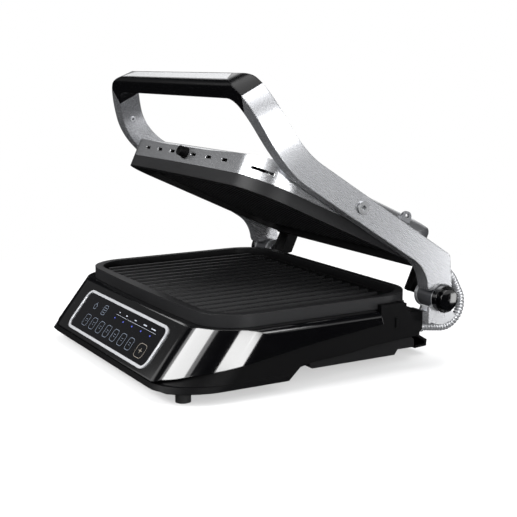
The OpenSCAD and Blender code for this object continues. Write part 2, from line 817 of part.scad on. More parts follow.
module arm() {
    color("#bfc0c2") difference() {
        arm_raw();
        grip_zone();
        difference() {
            across(arm_in - 1, arm_out - 3) arm_plane() arm_pocket(3);
            bar_x(arm_in - 2, arm_out, 7.5, pivot_y, pivot_z);
            for (u = [throat[0] + 12, bend_u - 12]) arm_boss(u, 4, arm_in, arm_out);
        }
        across(arm_in - 1, arm_in + 2) arm_plane() arm_pocket(2);
        bar_x(arm_in - 2, arm_out + 2, bolt_r, pivot_y, pivot_z);
        for (u = [throat[0] + 12, bend_u - 12]) arm_boss(u, 1.5, arm_in - 1, arm_out - 4);
        across(arm_in - 5, arm_out + 1) {
            arm_plane() foot_cut();
            translate([hinge_y - 32, hinge_z - 21]) square([28, 30]);
        }
        at_hinge() {
            bar_x(arm_in - 5, cheek_out, barrel_r);
            bar_x(cheek_out - gap, arm_out + 1, cheek_r + 1.5);
        }
        handle_ears(0);
    }
}

module arm_boss(u, r, x0, x1) {
    y = pivot_y - u * cos(arm_lean) + (arm_low + arm_h / 2) * sin(arm_lean);
    z = pivot_z + u * sin(arm_lean) + (arm_low + arm_h / 2) * cos(arm_lean);
    bar_x(x0, x1, r, y, z);
}

// Tenons of the grip's ends inside the arms
module handle_ears(inset) {
    loop_place() translate([0, 0, -arm_h / 2]) linear_extrude(10 - inset, center = true)
        intersection() {
            loop_outline(5 + inset);
            polygon([[joint_x - 12, joint_d - 12], [joint_x + 12 - inset, joint_d - 12 + inset],
                [joint_x + 16 - inset, joint_d + 30], [joint_x - 12, joint_d + 30]]);
        }
}

module arm_right() { arm(); }
module arm_left() { mirror([1, 0, 0]) arm(); }

module arm_cover() {
    color("#1d1d1d") difference() {
        across(arm_in, arm_in + 2) arm_plane() arm_pocket(2);
        bar_x(arm_in - 2, arm_out, 7.5, pivot_y, pivot_z);
        for (u = [throat[0] + 12, bend_u - 12]) arm_boss(u, 1.5, arm_in - 1, arm_out - 4);
    }
}

module arm_cover_right() { arm_cover(); }
module arm_cover_left() { mirror([1, 0, 0]) arm_cover(); }

module handle_trim_shape(inset) {
    loop_place() translate([0, loop_top - 1.6 + inset, 0]) rotate([-90, 0, 0])
        linear_extrude(10) polygon([[-118, loop_round], [118, loop_round],
            [106, arm_h - loop_round], [-106, arm_h - loop_round]]);
}

module handle_grip() {
    color("#101010") difference() {
        intersection() {
            loop_bar();
            across(-200, 200) arm_plane() arm_side();
            grip_zone();
        }
        handle_trim_shape(0);
        // hollow under the cover
        loop_place() translate([-112, loop_top - arm_t - 1, -arm_h + 3]) cube([224, arm_t - 2, arm_h - 6]);
    }
    color("#101010") both_sides() handle_ears(gap);
}

module handle_liner() {
    color("#191919") loop_place() difference() {
        translate([-112, loop_top - arm_t, -arm_h + 3]) cube([224, 2.4, arm_h - 6]);
        for (x = [-90, 0, 90]) translate([x, loop_top - arm_t - 1, -arm_h / 2]) rotate([-90, 0, 0])
            cylinder(r = 1.6, h = 9);
    }
    color("#191919") loop_place() for (x = [-90, 0, 90])
        translate([x, loop_top - arm_t + 2.3, -arm_h / 2]) rotate([-90, 0, 0]) difference() {
            cylinder(r = 3.5, h = arm_t - 5.3);
            translate([0, 0, -1]) cylinder(r = 1.6, h = 8);
        }
}

module handle_trim() {
    color("#c8c9cb") intersection() {
        handle_trim_shape(0);
        loop_bar();
    }
}

module arm_screws() {
    color("#9a9a9a") {
        both_sides() for (u = [throat[0] + 12, bend_u - 12]) {
            y = pivot_y - u * cos(arm_lean) + (arm_low + arm_h / 2) * sin(arm_lean);
            z = pivot_z + u * sin(arm_lean) + (arm_low + arm_h / 2) * cos(arm_lean);
            translate([arm_in - 1.6, y, z]) rotate([0, 90, 0]) screw(3, 1.6, 1.5, 8);
        }
        loop_place() for (x = [-90, 0, 90]) translate([x, loop_top - arm_t - 1.4, -arm_h / 2])
            rotate([-90, 0, 0]) screw(2.8, 1.4, 1.6, 6);
    }
}

module pivot_bolts() {
    color("#d2d2d4") both_sides() translate([0, pivot_y, pivot_z]) difference() {
        union() {
            bar_x(lid_half - 8, arm_out, bolt_r);
            bar_x(arm_out, arm_out + 2, bolt_r + 2);
        }
        bar_x(arm_out - 0.5, arm_out + 3, 2.2);
    }
}

// Fixed collar round the button, and round the cap on the other side
module hinge_collar() {
    color("#101012") at_hinge() difference() {
        bar_x(arm_out, arm_out + collar_t, button_r + 2.8);
        bar_x(arm_out - 1, arm_out + collar_t + 1, button_r + 0.4);
    }
}

module hinge_collar_right() { hinge_collar(); }
module hinge_collar_left() { mirror([1, 0, 0]) hinge_collar(); }

module button_spring() {
    color("#8f8f92") at_hinge() for (i = [0:2]) difference() {
        bar_x(arm_out + i * 1.02, arm_out + i * 1.02 + 1.03, 9.2 - 0.2 * i);
        bar_x(arm_out - 1, arm_out + 9, 7.6);
    }
}

// Half section of a round cap with a crowned face: radius across, height up
module cap_section(h) {
    dome = 60;
    intersection() {
        square([button_r, h]);
        translate([0, h - dome]) circle(dome, $fn = 360);
    }
}

module release_button() {
    x0 = arm_out + button_travel + 0.1;
    color("#101012") at_hinge() translate([x0, 0, 0]) rotate([0, 90, 0]) rotate_extrude()
        difference() {
            cap_section(arm_out + button_out - x0);
            translate([7.3, -1]) square([2.2, 4.4]);
        }
}

module hinge_cap() {
    color("#101012") mirror([1, 0, 0]) at_hinge() translate([arm_out, 0, 0]) rotate([0, 90, 0])
        rotate_extrude() cap_section(button_out);
}

// ---- Lid ----

module lid_side(inset) {
    crest = 640;
    tail = 69;
    top = lid_h - inset;
    low = lid_front_h - inset;
    lip = 5;
    intersection() {
        union() {
            intersection() {
                translate([110, lid_h - crest]) circle(crest - inset, $fn = 360);
                translate([-6, 0]) square([116.01, 60]);
            }
            translate([110, 0]) square([75, top]);
            intersection() {
                translate([185, lid_h - tail]) circle(tail - inset, $fn = 144);
                translate([184.99, 0]) square([60, 60]);
            }
        }
        union() {
            translate([lip + inset, 0]) square([240, 60]);
            translate([-6, 0]) square([240, low - lip]);
            translate([lip + inset, low - lip]) circle(lip);
        }
    }
}

// Width-height outline of the lid, a little higher than its top, so that only its round
// shoulders cut it
module lid_front(inset) {
    w = ring_w / 2 - inset;
    r = 16;
    top = lid_h - inset + 0.8;
    translate([-w, 0]) square([2 * w, top - r]);
    translate([r - w, 0]) square([2 * (w - r), top]);
    for (x = [r - w, w - r]) translate([x, top - r]) circle(r);
}

module lid_solid(inset, t0) {
    intersection() {
        translate([0, 0, t0]) linear_extrude(80)
            plan(ring_w - 2 * inset, lid_bow + inset, lid_d - inset, plate_r - inset, lid_bow);
        across(-200, 200) lid_side(inset);
        along(-20, 260) lid_front(inset);
    }
}

function lid_studs() = [for (x = [-128, 128], s = [26, 192]) [x, s]];

module lid_shell() {
    color("#bcbdbf") lid_place() difference() {
        union() {
            difference() {
                lid_solid(0, rim_h);
                lid_solid(lid_wall, rim_h - 1);
            }
            intersection() {
                lid_solid(0.5, rim_h);
                for (p = lid_studs()) translate([p[0], p[1], 0]) cylinder(r = 4, h = 60);
            }
        }
        for (x = [-86.6, -55.4, -25, 22.2, 53.3, 83.9]) translate([x - 5, -5, 20.1])
            cube([10, 20, 3]);
        for (m = [0, 1]) mirror([m, 0, 0]) translate([126, -1, 19.2]) cube([17, 24, 2.6]);
        translate([knob_x, -10, 21.8]) rotate([-90, 0, 0]) cylinder(r = 3 + run_gap, h = 20);
        both_sides() bar_x(100, 160, 8, pivot_s, pivot_t);
        for (p = lid_studs()) translate([p[0], p[1], 0]) cylinder(r = 1.6, h = 22);
    }
}

module upper_plate() {
    color("#1a1a1a") lid_place() translate([0, ring_d / 2, 0]) difference() {
        translate([0, 0, rim_h]) mirror([0, 0, 1]) {
            plate_pan(ring_w, ring_d);
            rib_set(ring_w, ring_d);
        }
        for (p = lid_studs()) translate([p[0], p[1] - ring_d / 2, 0]) cylinder(r = 1.7, h = 40);
    }
}

module lid_screws() {
    color("#9a9a9a") lid_place() for (p = lid_studs())
        translate([p[0], p[1], rim_h - floor_t - 1.8]) screw(3.4, 1.8, 1.6, 11);
}

module upper_heater() {
    color("#6d6a66") lid_place() translate([0, 112, rim_h + 3.3]) heater(216, 136, 3.3);
}

module upper_reflector() {
    color("#b8b8b8") lid_place() translate([0, 112, rim_h]) mirror([0, 0, 1])
        translate([0, 0, -14]) reflector(250, 172, 14);
}

module upper_sensor() {
    color("#c9b37a") lid_place() translate([0, 118, rim_h + 13]) mirror([0, 0, 1]) sensor(13);
}

module lid_bushes() {
    color("#8c8c8e") lid_place() translate([0, pivot_s, pivot_t]) both_sides() difference() {
        union() {
            bar_x(lid_half - 9, arm_in - gap, 8);
            bar_x(lid_half - 9, lid_half - 6.5, 9.4);
        }
        bar_x(lid_half - 10, arm_in + 1, bolt_r + run_gap);
    }
}

// Black ribbed stop behind the lid
module lid_stop() {
    color("#151515") lid_place() difference() {
        union() {
            across(119, 133) polygon([[lid_d - 14, 12], [lid_d + 3, 18], [lid_d + 3, -24],
                [lid_d - 5, -23], [lid_d - 5, -1], [lid_d - 14, -1]]);
            for (x = [119, 130]) across(x, x + 3) polygon([[lid_d + 2.9, 18], [lid_d + 12, 12],
                [lid_d + 12, -18], [lid_d + 2.9, -24]]);
        }
        translate([0, 0, -60]) linear_extrude(120) plan(ring_w, 1, lid_d, plate_r);
    }
}

module lid_stop_right() { lid_stop(); }
module lid_stop_left() { mirror([1, 0, 0]) lid_stop(); }

module lid_lug() {
    color("#b4b5b8") lid_place() translate([ring_w / 2 - 5, 172, 0]) difference() {
        union() {
            translate([0, 0, 37.5]) bar_x(0, 3, 5.5);
            translate([0, -5.5, 32]) cube([3, 11, 5.5]);
        }
        translate([0, 0, 38.5]) bar_x(-1, 4, 2.4);
        difference() {
            translate([-3, -20, 0]) cube([9, 40, 60]);
            translate([-3, -20, 30]) cube([9, 40, 30]);
        }
        translate([5 - ring_w / 2, -172, 0]) lid_solid(0, rim_h);
    }
}

module lid_lug_right() { lid_lug(); }
module lid_lug_left() { mirror([1, 0, 0]) lid_lug(); }

module lid_knob() {
    color("#141414") lid_place() translate([knob_x, -0.3, 21.8]) rotate([90, 0, 0]) {
        difference() {
            union() {
                cylinder(r = knob_r - 1, h = knob_out);
                cylinder(r = knob_r, h = 2);
            }
            for (a = [0:45:315]) rotate(a) translate([knob_r + 0.4, 0, 2.5]) cylinder(r = 1.5, h = 20);
            translate([0, 0, knob_out - 0.8]) cylinder(r = knob_r - 3.6, h = 2);
        }
        translate([0, 0, -8]) cylinder(r = 3, h = 8.1);
        translate([0, 0, -8]) cylinder(r = 5.5, h = 2);
    }
}

placed() base_shell();
placed() gloss_housing();
placed() bottom_cover();
placed() feet();
placed() base_screws();
placed() panel_frame();
placed() panel_glass();
placed() control_board();
placed() terminal_block();
placed() lower_plate();
placed() lower_heater();
placed() lower_reflector();
placed() lower_sensor();
placed() hinge_bracket_right();
placed() hinge_bracket_left();
placed() hinge_pin_right();
placed() hinge_pin_left();
placed() hinge_barrel_right();
placed() hinge_barrel_left();
placed() bracket_screws();
placed() conduit_gland();
placed() conduit();
placed() cord_gland();
placed() drip_tray();
placed() arm_right();
placed() arm_left();
placed() arm_cover_right();
placed() arm_cover_left();
placed() handle_grip();
placed() handle_liner();
placed() handle_trim();
placed() arm_screws();
placed() pivot_bolts();
placed() conduit_collar();
placed() hinge_collar_right();
placed() hinge_collar_left();
placed() button_spring();
placed() hinge_cap();
placed() release_button();
placed() lid_shell();
placed() upper_plate();
placed() upper_heater();
placed() upper_reflector();
placed() upper_sensor();
placed() lid_bushes();
placed() lid_screws();
placed() lid_stop_right();
placed() lid_stop_left();
placed() lid_lug_right();
placed() lid_lug_left();
placed() lid_knob();
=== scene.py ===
import logging
import math
from collections.abc import Iterable, Sequence
from dataclasses import dataclass, field
from enum import Enum

import bmesh
import bpy
from mathutils import Matrix, Vector


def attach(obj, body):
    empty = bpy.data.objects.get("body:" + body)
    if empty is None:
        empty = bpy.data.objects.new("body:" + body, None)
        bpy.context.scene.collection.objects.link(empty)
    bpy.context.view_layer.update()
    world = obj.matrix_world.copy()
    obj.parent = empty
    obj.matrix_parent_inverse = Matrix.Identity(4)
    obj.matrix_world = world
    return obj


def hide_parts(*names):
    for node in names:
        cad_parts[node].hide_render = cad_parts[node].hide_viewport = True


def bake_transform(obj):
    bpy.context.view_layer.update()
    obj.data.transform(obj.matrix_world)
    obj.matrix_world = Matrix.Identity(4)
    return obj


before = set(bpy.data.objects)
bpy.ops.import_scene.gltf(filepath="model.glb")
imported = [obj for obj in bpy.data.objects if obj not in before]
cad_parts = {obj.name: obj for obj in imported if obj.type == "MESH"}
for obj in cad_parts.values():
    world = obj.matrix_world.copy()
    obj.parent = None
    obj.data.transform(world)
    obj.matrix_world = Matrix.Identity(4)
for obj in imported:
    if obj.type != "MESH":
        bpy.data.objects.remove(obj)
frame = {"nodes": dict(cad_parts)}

LOG = logging.getLogger("contact_grill")
MM = 0.001


# ---------------------------------------------------------------------------
# Small tools
# ---------------------------------------------------------------------------


def mm(*values: float) -> Vector:
    """Turns a point in millimetres into a vector in metres.

    Args:
        *values: The point's coordinates, in millimetres.

    Returns:
        The same point in metres.
    """
    return Vector(values) * MM


def srgb(code: str) -> tuple[float, float, float, float]:
    """Turns an sRGB hex colour into the linear values that shaders take.

    Args:
        code: Six hexadecimal digits, with or without a leading hash.

    Returns:
        Linear red, green, blue and full opacity.
    """
    code = code.lstrip("#")
    channels = [int(code[i : i + 2], 16) / 255 for i in (0, 2, 4)]
    linear = [c / 12.92 if c <= 0.04045 else ((c + 0.055) / 1.055) ** 2.4 for c in channels]
    return (linear[0], linear[1], linear[2], 1.0)


# ---------------------------------------------------------------------------
# Materials
# ---------------------------------------------------------------------------


class Texture(Enum):
    """The fine structure that a surface shows."""

    PLAIN = "plain"
    BRUSHED = "brushed"
    GRAINED = "grained"
    CAST = "cast"


@dataclass(frozen=True)
class Finish:
    """How one kind of surface looks.

    Attributes:
        name: The material's name.
        colour: Its sRGB colour.
        alt: The colour that its texture mixes in.
        metallic: 0 for plastics, 1 for bare metal.
        rough: The lowest and the highest roughness.
        texture: Its fine structure.
        size: That structure's size, in millimetres, along X, Y and Z.
        turn: The structure's rotation about X, in degrees.
        bump: The structure's depth, in millimetres.
        edge: The radius that its edges seem to have, in millimetres.
        anisotropic: How far the highlight is drawn out.
        specular: The specular level of a plastic.
        wear: How much lighter the edges are.
    """

    name: str
    colour: str
    alt: str
    metallic: float = 0.0
    rough: tuple[float, float] = (0.3, 0.4)
    texture: Texture = Texture.PLAIN
    size: tuple[float, float, float] = (1.0, 1.0, 1.0)
    turn: float = 0.0
    bump: float = 0.0
    edge: float = 0.0
    anisotropic: float = 0.0
    specular: float = 0.5
    wear: float = 0.0


Source = tuple[bpy.types.Node, str | int]


class Graph:
    """A node tree, with one short way to add a node."""

    def __init__(self, tree: bpy.types.NodeTree) -> None:
        """Empties the tree that is to be filled."""
        self.tree = tree
        self.tree.nodes.clear()

    def add(self, kind: str, links: dict[str | int, Source] | None = None,
            **values: object) -> bpy.types.Node:
        """Adds a node with its settings and links.

        Args:
            kind: The node's type.
            links: For an input's name or place, the node and output that feed it.
            **values: Properties by name, and inputs by name with a leading "in_".

        Returns:
            The new node.
        """
        node = self.tree.nodes.new(kind)
        for key, value in values.items():
            if key.startswith("in_"):
                node.inputs[key[3:].replace("_", " ")].default_value = value
            else:
                setattr(node, key, value)
        for into, (source, out) in (links or {}).items():
            self.tree.links.new(source.outputs[out], node.inputs[into])
        return node


def new_material(name: str) -> tuple[bpy.types.Material, Graph]:
    """Starts an empty material.

    Args:
        name: Its name.

    Returns:
        The material and its node tree.
    """
    material = bpy.data.materials.new(name)
    material.use_nodes = True
    return material, Graph(material.node_tree)


def scaled_place(graph: Graph, size: Sequence[float], turn: float = 0.0) -> Source:
    """Adds object coordinates, measured in units of a given size.

    Args:
        graph: The material's node tree.
        size: The unit along X, Y and Z, in millimetres.
        turn: A rotation about X that comes first, in degrees.

    Returns:
        The node with the coordinates, and its output.
    """
    coords = graph.add("ShaderNodeTexCoord")
    turned = graph.add("ShaderNodeMapping", {"Vector": (coords, "Object")},
                       in_Rotation=(math.radians(turn), 0.0, 0.0))
    scaled = graph.add("ShaderNodeMapping", {"Vector": (turned, "Vector")},
                       in_Scale=tuple(1 / (s * MM) for s in size))
    return scaled, "Vector"


@dataclass
class Finisher:
    """Makes each material once and puts it on pieces.

    Attributes:
        made: The materials made so far, by name.
        clouds: The size of the broad clouds in every finish, in millimetres.
        cloud_share: Their share beside the fine structure.
        worn: The colour of rubbed edges.
    """

    made: dict[str, bpy.types.Material] = field(default_factory=dict)
    clouds: tuple[float, float, float] = (60.0, 60.0, 60.0)
    cloud_share: float = 0.25
    worn: str = "#8a8a8c"

    def material(self, finish: Finish) -> bpy.types.Material:
        """Gives the material for a finish.

        Args:
            finish: The finish wanted.

        Returns:
            The material, made at its first use.
        """
        if finish.name not in self.made:
            self.made[finish.name] = self._build(finish)
        return self.made[finish.name]

    def _pattern(self, graph: Graph, finish: Finish) -> Source:
        """Adds the fine structure's nodes.

        Args:
            graph: The material's node tree.
            finish: The finish wanted.

        Returns:
            The node with the pattern, and its output.
        """
        place = scaled_place(graph, finish.size, finish.turn)
        if finish.texture is Texture.GRAINED:
            return graph.add("ShaderNodeTexVoronoi", {"Vector": place}, in_Scale=1.0), "Distance"
        detail = {Texture.BRUSHED: 6.0, Texture.CAST: 4.0}.get(finish.texture, 2.0)
        noise = graph.add("ShaderNodeTexNoise", {"Vector": place}, in_Scale=1.0, in_Detail=detail,
                          in_Roughness=0.6)
        return noise, "Fac"

    def _blend(self, graph: Graph, pattern: Source) -> Source:
        """Mixes the fine structure with broad, faint clouds, so that large faces aren't flat.

        Args:
            graph: The material's node tree.
            pattern: The fine structure.

        Returns:
            The node with the mixed value, and its output.
        """
        clouds = graph.add("ShaderNodeTexNoise", {"Vector": scaled_place(graph, self.clouds)},
                           in_Scale=1.0, in_Detail=3.0)
        fine = graph.add("ShaderNodeMapRange", {"Value": pattern}, in_To_Max=1 - self.cloud_share)
        both = graph.add("ShaderNodeMath", {0: (clouds, "Fac"), 2: (fine, "Result")},
                         operation="MULTIPLY_ADD")
        both.inputs[1].default_value = self.cloud_share
        return both, "Value"

    def _colour(self, graph: Graph, finish: Finish, blend: Source) -> Source:
        """Adds the colour, lighter at the edges where hands and cloths rub.

        Args:
            graph: The material's node tree.
            finish: The finish wanted.
            blend: How far the second colour shows.

        Returns:
            The node with the colour, and its output.
        """
        base = graph.add("ShaderNodeMix", {"Factor": blend}, data_type="RGBA",
                         in_A=srgb(finish.colour), in_B=srgb(finish.alt))
        if finish.wear == 0:
            return base, "Result"
        geometry = graph.add("ShaderNodeNewGeometry")
        edge = graph.add("ShaderNodeMapRange", {"Value": (geometry, "Pointiness")},
                         in_From_Min=0.5, in_From_Max=0.6, in_To_Max=finish.wear)
        worn = graph.add("ShaderNodeMix", {"Factor": (edge, "Result"), "A": (base, "Result")},
                         data_type="RGBA", in_B=srgb(self.worn))
        return worn, "Result"

    def _relief(self, graph: Graph, finish: Finish, pattern: Source) -> dict[str, Source]:
        """Adds rounded edges and the fine structure's relief.

        Args:
            graph: The material's node tree.
            finish: The finish wanted.
            pattern: The fine structure.

        Returns:
            The link for a shader's normal, or none for a plain surface.
        """
        links: dict[str, Source] = {}
        if finish.edge > 0:
            round_edge = graph.add("ShaderNodeBevel", samples=4, in_Radius=finish.edge * MM)
            links = {"Normal": (round_edge, "Normal")}
        if finish.bump > 0:
            bump = graph.add("ShaderNodeBump", {"Height": pattern, **links},
                             in_Distance=finish.bump * MM, in_Strength=0.6)
            links = {"Normal": (bump, "Normal")}
        return links

    def _build(self, finish: Finish) -> bpy.types.Material:
        """Builds one material.

        Args:
            finish: The finish wanted.

        Returns:
            The new material.
        """
        material, graph = new_material(finish.name)
        pattern = self._pattern(graph, finish)
        blend = self._blend(graph, pattern)
        low, high = finish.rough
        rough = graph.add("ShaderNodeMapRange", {"Value": blend}, in_From_Min=0.2, in_From_Max=0.8,
                          in_To_Min=low, in_To_Max=high)
        bsdf = graph.add("ShaderNodeBsdfPrincipled",
                         {"Base Color": self._colour(graph, finish, blend),
                          "Roughness": (rough, "Result"), **self._relief(graph, finish, pattern)},
                         in_Metallic=finish.metallic, in_Anisotropic=finish.anisotropic,
                         in_Specular_IOR_Level=finish.specular)
        graph.add("ShaderNodeOutputMaterial", {"Surface": (bsdf, "BSDF")})
        return material

    def put(self, obj: bpy.types.Object, finish: Finish) -> None:
        """Gives an object one finish all over.

        Args:
            obj: The object.
            finish: Its finish.
        """
        material = self.material(finish)
        if obj.data.materials:
            for i in range(len(obj.data.materials)):
                obj.data.materials[i] = material
        else:
            obj.data.materials.append(material)


# ABS from a polished mould: deep black, with sharp mirror images of what stands round it.
GLOSS = Finish("moulded_gloss_abs", "#020203", "#050506", rough=(0.08, 0.11), size=(25, 25, 25),
               edge=0.9, specular=0.8)
# Moulded nylon: black, with soft, broad highlights and well rounded edges.
GRIP = Finish("moulded_grip_nylon", "#030304", "#070708", rough=(0.16, 0.26), size=(18, 18, 18),
              edge=2.2, specular=0.14)
# ABS from an etched mould: black, with a fine leather grain that breaks up the light.
MATTE = Finish("grained_abs", "#030304", "#060607", rough=(0.4, 0.55), texture=Texture.GRAINED,
               size=(0.7, 0.7, 0.7), bump=0.04, edge=0.8, specular=0.1)
# Moulded polypropylene, as on undersides: duller and a little greyer than the housing.
UNDER = Finish("grained_polypropylene", "#08080a", "#0e0e10", rough=(0.5, 0.65),
               texture=Texture.GRAINED, size=(0.9, 0.9, 0.9), bump=0.05, edge=0.5, specular=0.25)
# Moulded rubber: dark grey, and almost without highlights.
RUBBER = Finish("moulded_rubber", "#161616", "#222222", rough=(0.7, 0.85), texture=Texture.CAST,
                size=(1.2, 1.2, 1.2), bump=0.05, edge=0.8)
# Cast aluminium with a non-stick coating: black and satin, a trace lighter on worn edges.
PLATE = Finish("coated_cast_aluminium", "#060607", "#0c0c0d", rough=(0.34, 0.5),
               texture=Texture.CAST, size=(0.8, 0.8, 0.8), bump=0.05, edge=1.2, specular=0.2,
               wear=0.05)
# Stainless steel, brushed along the arm: long fine streaks. Real brush lines are some 0.05 mm
# apart and wouldn't show, so here and on the lid they are drawn at 0.35 mm.
ARM = Finish("brushed_steel_arm", "#aeafb2", "#b8b9bc", metallic=0.85, rough=(0.24, 0.3),
             texture=Texture.BRUSHED, size=(0.35, 26, 0.35), turn=32.6, bump=0.0006, edge=1.4,
             anisotropic=0.35)
# Stainless steel, brushed from side to side of the lid.
LID = Finish("brushed_steel_lid", "#b2b3b6", "#c6c7c9", metallic=0.9, rough=(0.2, 0.3),
             texture=Texture.BRUSHED, size=(30, 0.35, 0.35), turn=24.8, bump=0.002, edge=0.6,
             anisotropic=0.35)
# Stainless steel strip, finely polished along its length: even and bright.
TRIM = Finish("polished_steel_trim", "#a2a3a5", "#b0b1b3", metallic=0.9, rough=(0.2, 0.3),
              texture=Texture.BRUSHED, size=(30, 0.3, 0.3), bump=0.004, edge=0.4)
# Pressed, nickel-plated steel: bright, with faint unevenness from the press.
BRIGHT = Finish("pressed_steel", "#b8b9bc", "#c9cacc", metallic=0.72, rough=(0.24, 0.34),
                size=(9, 9, 9), edge=0.5)
# Die-cast zinc: greyer and softer than the pressed steel.
LUG = Finish("die_cast_zinc", "#6f7073", "#808184", metallic=0.8, rough=(0.3, 0.42), size=(5, 5, 5),
             edge=0.4)
# Chromed ABS: a bright, narrow bead.
CHROME = Finish("chromed_abs", "#d4d5d8", "#e2e3e6", metallic=0.5, rough=(0.1, 0.16),
                size=(12, 12, 12), edge=0.4)
# Zinc-plated steel, as on screws and pins: bright and slightly mottled.
SCREW = Finish("zinc_plated_steel", "#a9aaad", "#c4c5c7", metallic=1.0, rough=(0.22, 0.36),
               texture=Texture.CAST, size=(0.8, 0.8, 0.8), edge=0.25)
# Blackened steel: dark grey, with a dull metal sheen.
# Also used as painted shade: the dark discs at the bottoms of the grip screws' sockets.
DARK = Finish("blackened_steel", "#4e4f52", "#5c5d60", metallic=0.6, rough=(0.34, 0.46),
              texture=Texture.CAST, size=(0.8, 0.8, 0.8), bump=0.01, edge=0.6)
# Glass with a black back: flat, deep and sharp in its reflections.
GLASS = Finish("black_backed_glass", "#040406", "#07070a", rough=(0.03, 0.05), size=(30, 30, 30),
               edge=0.3)
# Lacquered glass-fibre board: green and slightly shiny.
BOARD = Finish("lacquered_board", "#1d5c36", "#27693f", rough=(0.3, 0.45), size=(4, 4, 4), edge=0.2)
# Fired, unglazed steatite: cream-coloured and dry.
CERAMIC = Finish("fired_steatite", "#e6e1d3", "#d9d3c4", rough=(0.4, 0.55), texture=Texture.CAST,
                 size=(1, 1, 1), bump=0.03, edge=0.4)
# Drawn steel tube, stained by heat: brownish and blotchy.
SHEATH = Finish("heat_stained_tube", "#5a5450", "#7a6f66", metallic=0.9, rough=(0.35, 0.55),
                texture=Texture.CAST, size=(5, 5, 5), bump=0.02, edge=0.3)
# Bright rolled aluminium sheet, dulled by use: grey, with blurred reflections.
MIRROR = Finish("rolled_aluminium", "#7f8083", "#96979a", metallic=1.0, rough=(0.25, 0.4),
                texture=Texture.CAST, size=(8, 8, 8), bump=0.02, edge=0.3)
# Turned brass: warm yellow and smooth.
BRASS = Finish("turned_brass", "#b08d4a", "#c9a55e", metallic=1.0, rough=(0.25, 0.4),
               texture=Texture.CAST, size=(2, 2, 2), edge=0.3)
# Inks printed on the glass, lit from behind on the real panel: flat colour without shine.
KEY = Finish("printed_grey_ink", "#69727f", "#78818e", rough=(0.4, 0.5), size=(3, 3, 3),
             specular=0.2)
WARM = Finish("printed_warm_ink", "#7d766c", "#8b8378", rough=(0.4, 0.5), size=(3, 3, 3),
              specular=0.2)
MARK = Finish("printed_pale_ink", "#a4a9b2", "#b4b9c2", rough=(0.4, 0.5), size=(3, 3, 3),
              specular=0.2)
GLOW = Finish("printed_blue_ink", "#3f4aa8", "#4b56b8", rough=(0.4, 0.5), size=(3, 3, 3),
              specular=0.2)

NODE_FINISH: dict[str, Finish] = {
    "base_shell": MATTE, "gloss_housing": GLOSS, "bottom_cover": UNDER, "feet": RUBBER,
    "base_screws": SCREW, "panel_frame": CHROME, "panel_glass": GLASS, "control_board": BOARD,
    "terminal_block": CERAMIC, "lower_plate": PLATE, "lower_heater": SHEATH,
    "lower_reflector": MIRROR, "lower_sensor": BRASS, "hinge_bracket_right": BRIGHT,
    "hinge_bracket_left": BRIGHT, "hinge_pin_right": SCREW, "hinge_pin_left": SCREW,
    "hinge_barrel_right": DARK, "hinge_barrel_left": DARK, "bracket_screws": SCREW,
    "hinge_collar_right": GLOSS, "hinge_collar_left": GLOSS,
    "conduit_gland": BRIGHT, "conduit": BRIGHT, "cord_gland": MATTE, "drip_tray": MATTE,
    "arm_right": ARM, "arm_left": ARM, "arm_cover_right": MATTE, "arm_cover_left": MATTE,
    "handle_grip": GRIP, "handle_liner": MATTE, "handle_trim": TRIM, "arm_screws": SCREW,
    "pivot_bolts": SCREW, "conduit_collar": BRIGHT, "button_spring": SCREW, "hinge_cap": GLOSS,
    "release_button": GLOSS, "lid_shell": LID, "upper_plate": PLATE, "upper_heater": SHEATH,
    "upper_reflector": MIRROR, "upper_sensor": BRASS, "lid_bushes": SCREW, "lid_screws": SCREW,
    "lid_stop_right": MATTE, "lid_stop_left": MATTE, "lid_lug_right": LUG,
    "lid_lug_left": LUG, "lid_knob": MATTE,
}


# ---------------------------------------------------------------------------
# Geometry helpers
# ---------------------------------------------------------------------------


